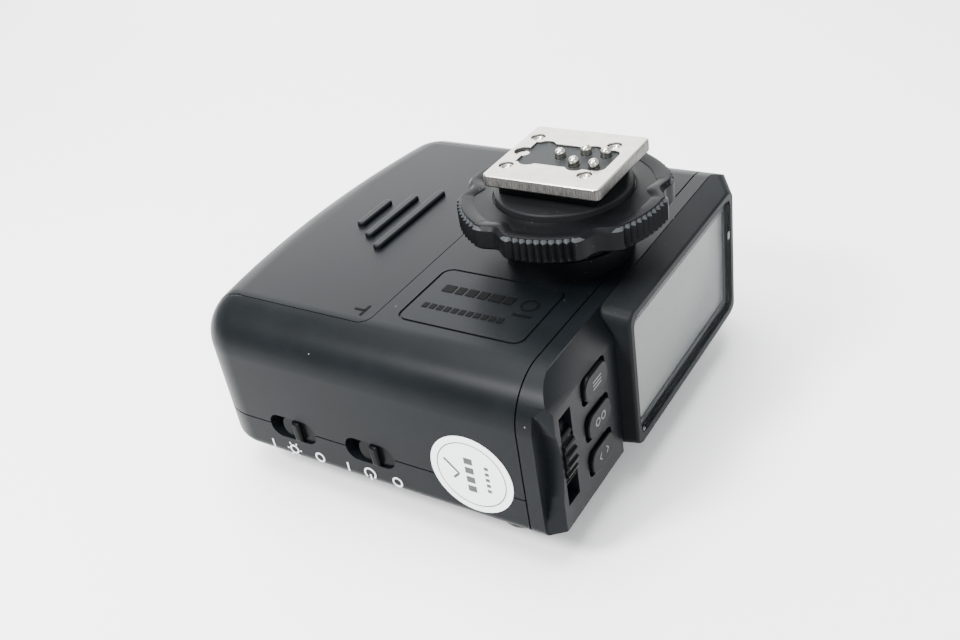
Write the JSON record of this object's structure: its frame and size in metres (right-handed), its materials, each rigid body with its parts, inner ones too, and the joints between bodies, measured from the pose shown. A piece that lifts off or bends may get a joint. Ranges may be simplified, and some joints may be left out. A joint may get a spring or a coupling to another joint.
{
  "type": "wireless flash trigger",
  "caption": "Hot-shoe radio trigger for studio flashes with a locking foot, a display, keys, a dial, a battery door and a shoe on its other side.",
  "frame": {"origin": "middle of the outline on the plane of the shoe plateau, which the part lies on", "axes": "+Z out of the camera foot, -Y the side with the display and the keys, +Y the front with the battery door, -X the side with the slide switches"},
  "size_m": [0.0752, 0.074, 0.0517],
  "materials": {
    "case_plastic": "satin fine grain",
    "frame_plastic": "gloss",
    "ring_plastic": "semi-matte",
    "key_plastic": "satin",
    "nickel": "satin nickel",
    "bright_nickel": "polished",
    "steel": "zinc plated",
    "insulator_plastic": "matte",
    "brass": "plated",
    "window_clear": "clear",
    "mask_grey": "matt grey film",
    "lcd_glass": "grey-green reflective display",
    "light_guide": "milky",
    "silicone": "matte",
    "board": "solder mask",
    "switch_body": "plated",
    "flex_amber": "film",
    "wire_jacket": "satin",
    "cell_wrap": "wrapped cell",
    "lens_red": "clear red",
    "lamp_clear": "clear",
    "label_white": "paper"
  },
  "bodies": {
    "case": {"base_shell": "case_plastic", "top_cover": "case_plastic", "rear_bezel": "case_plastic", "display_frame": "frame_plastic", "foot_stem": "ring_plastic", "foot_plate": "nickel", "shoe_rails": "nickel", "rf_shield": "nickel", "usb_socket": "nickel", "battery_contacts": "nickel", "foot_screws": "steel", "shoe_screws": "steel", "case_screws": "steel", "foot_insulator": "insulator_plastic", "shoe_insulator": "insulator_plastic", "battery_tray": "insulator_plastic", "dial_encoder": "insulator_plastic", "power_switch": "insulator_plastic", "lamp_switch": "insulator_plastic", "sync_jack": "insulator_plastic", "shoe_contacts": "brass", "display_window": "window_clear", "display_mask": "mask_grey", "lcd_panel": "lcd_glass", "lcd_frame": "light_guide", "keypad": "silicone", "main_board": "board", "display_board": "board", "foot_contact_board": "board", "radio_module": "board", "antenna": "board", "key_switches": "switch_body", "test_switch": "switch_body", "ribbon_cable": "flex_amber", "foot_harness": "wire_jacket", "battery_cell_1": "cell_wrap", "battery_cell_2": "cell_wrap", "assist_lens": "lens_red", "assist_led": "lamp_clear", "inspection_label": "label_white"},
    "door": {"battery_door": "case_plastic"},
    "clamp": {"clamp_washer": "ring_plastic", "lock_pin": "bright_nickel"},
    "ring": {"lock_ring": "ring_plastic"},
    "power_slider": {"power_knob": "key_plastic"},
    "lamp_slider": {"lamp_knob": "key_plastic"},
    "mode_key": {"mode_button": "key_plastic"},
    "group_key": {"group_button": "key_plastic"},
    "channel_key": {"channel_button": "key_plastic"},
    "dial": {"select_dial": "key_plastic"},
    "test_key": {"test_button": "key_plastic"},
    "pin_1": {"contact_pin_1": "bright_nickel"},
    "pin_2": {"contact_pin_2": "bright_nickel"},
    "pin_3": {"contact_pin_3": "bright_nickel"},
    "pin_4": {"contact_pin_4": "bright_nickel"},
    "pin_5": {"contact_pin_5": "bright_nickel"}
  },
  "joints": [
    {"name": "door_slide", "type": "slide", "parent": "case", "child": "door", "axis": [0, 1, 0], "range_m": [0, 0.038]},
    {"name": "clamp_slide", "type": "slide", "parent": "case", "child": "clamp", "axis": [0, 0, 1], "range_m": [0, 0.00221]},
    {"name": "ring_turn", "type": "hinge", "parent": "clamp", "child": "ring", "pos_m": [0, -0.01975, 0.043], "axis": [0, 0, 1], "range_deg": [0, 330]},
    {"name": "power_slide", "type": "slide", "parent": "case", "child": "power_slider", "axis": [0, 1, 0], "range_m": [0, 0.0024]},
    {"name": "lamp_slide", "type": "slide", "parent": "case", "child": "lamp_slider", "axis": [0, 1, 0], "range_m": [0, 0.0024]},
    {"name": "dial_turn", "type": "hinge", "parent": "case", "child": "dial", "pos_m": [-0.03195, -0.0253, 0.0197], "axis": [1, 0, 0], "continuous": true},
    {"name": "test_press", "type": "slide", "parent": "case", "child": "test_key", "axis": [0, 0, 1], "range_m": [0, 0.0004], "stiffness_N_per_m": 2500, "springref_m": -0.0002},
    {"name": "mode_press", "type": "slide", "parent": "case", "child": "mode_key", "axis": [0, 1, 0], "range_m": [0, 0.0005], "stiffness_N_per_m": 2000, "springref_m": -0.0002},
    {"name": "group_press", "type": "slide", "parent": "case", "child": "group_key", "axis": [0, 1, 0], "range_m": [0, 0.0005], "stiffness_N_per_m": 2000, "springref_m": -0.0002},
    {"name": "channel_press", "type": "slide", "parent": "case", "child": "channel_key", "axis": [0, 1, 0], "range_m": [0, 0.0005], "stiffness_N_per_m": 2000, "springref_m": -0.0002},
    {"name": "pin_1_press", "type": "slide", "parent": "case", "child": "pin_1", "axis": [0, 0, -1], "range_m": [0, 0.001], "stiffness_N_per_m": 600, "springref_m": -0.0005},
    {"name": "pin_2_press", "type": "slide", "parent": "case", "child": "pin_2", "axis": [0, 0, -1], "range_m": [0, 0.001], "stiffness_N_per_m": 600, "springref_m": -0.0005},
    {"name": "pin_3_press", "type": "slide", "parent": "case", "child": "pin_3", "axis": [0, 0, -1], "range_m": [0, 0.001], "stiffness_N_per_m": 600, "springref_m": -0.0005},
    {"name": "pin_4_press", "type": "slide", "parent": "case", "child": "pin_4", "axis": [0, 0, -1], "range_m": [0, 0.001], "stiffness_N_per_m": 600, "springref_m": -0.0005},
    {"name": "pin_5_press", "type": "slide", "parent": "case", "child": "pin_5", "axis": [0, 0, -1], "range_m": [0, 0.001], "stiffness_N_per_m": 600, "springref_m": -0.0005}
  ],
  "couplings": [
    {"joint": "clamp_slide", "follows": "ring_turn", "m_per_rad": 0.00038197}
  ]
}
